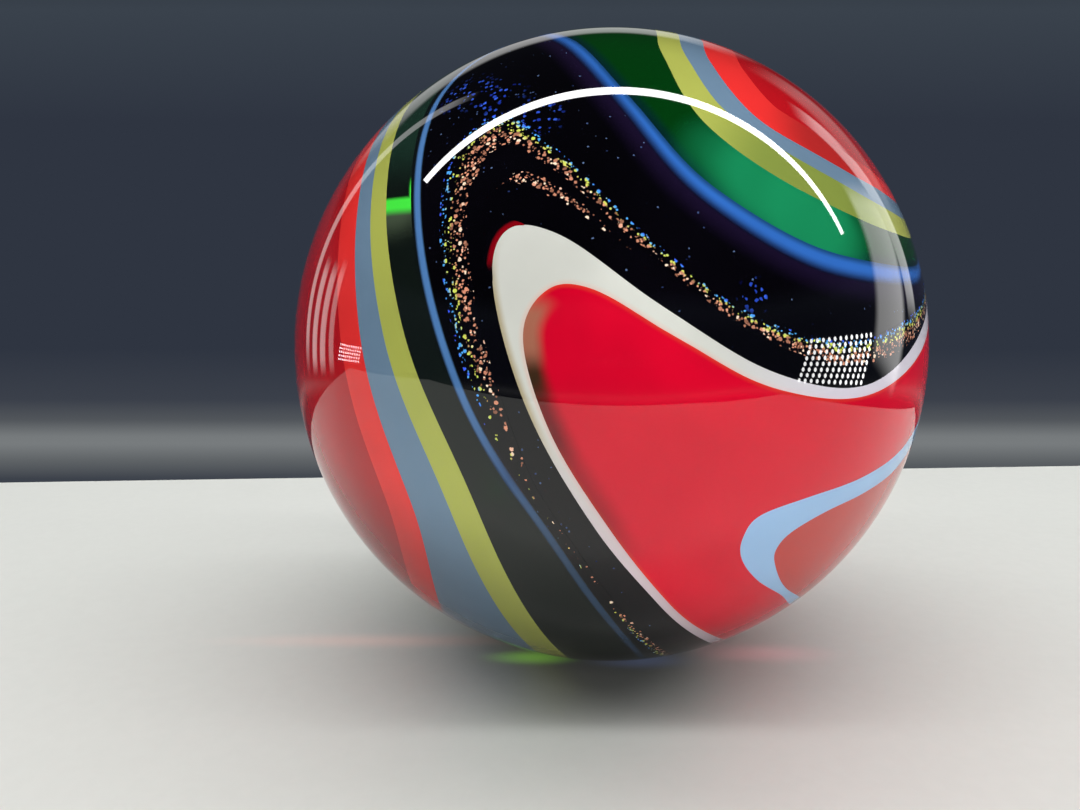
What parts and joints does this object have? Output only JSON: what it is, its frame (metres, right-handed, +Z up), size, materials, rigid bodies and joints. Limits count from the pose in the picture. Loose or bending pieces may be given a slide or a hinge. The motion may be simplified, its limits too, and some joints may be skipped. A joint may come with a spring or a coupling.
{
  "type": "glass marble",
  "caption": "Handmade glass marble: a dark ball with swirling bands of coloured glass and strips of metal glitter, melted flush with its surface.",
  "frame": {"origin": "centre of the ball", "axes": "+Z up as the marble lies in the picture, -Y towards the picture's viewer, +X to the viewer's right; the swirl's pattern tells these directions apart"},
  "size_m": [0.05, 0.05, 0.05],
  "materials": {
    "black_glass": "gloss",
    "rose_glass": "gloss",
    "light_blue_glass": "gloss",
    "red_glass": "gloss",
    "white_glass": "gloss",
    "dark_ruby_glass": "gloss",
    "blue_glass": "gloss",
    "green_glass": "gloss",
    "olive_glass": "gloss",
    "grey_blue_glass": "gloss",
    "bright_red_glass": "gloss",
    "ruby_glass": "gloss",
    "glitter_glass": "gloss with metal flakes",
    "copper_glitter_glass": "gloss with metal flakes"
  },
  "bodies": {
    "root": {"dark_ball": "black_glass", "ruby_tongue": "rose_glass", "light_blue_band": "light_blue_glass", "red_field": "red_glass", "white_band": "white_glass", "ruby_sliver": "dark_ruby_glass", "blue_line": "blue_glass", "green_band": "green_glass", "olive_band": "olive_glass", "grey_blue_band": "grey_blue_glass", "red_stripe": "bright_red_glass", "ruby_field": "ruby_glass", "glitter_strip": "glitter_glass", "short_glitter_strip": "copper_glitter_glass"}
  },
  "joints": []
}
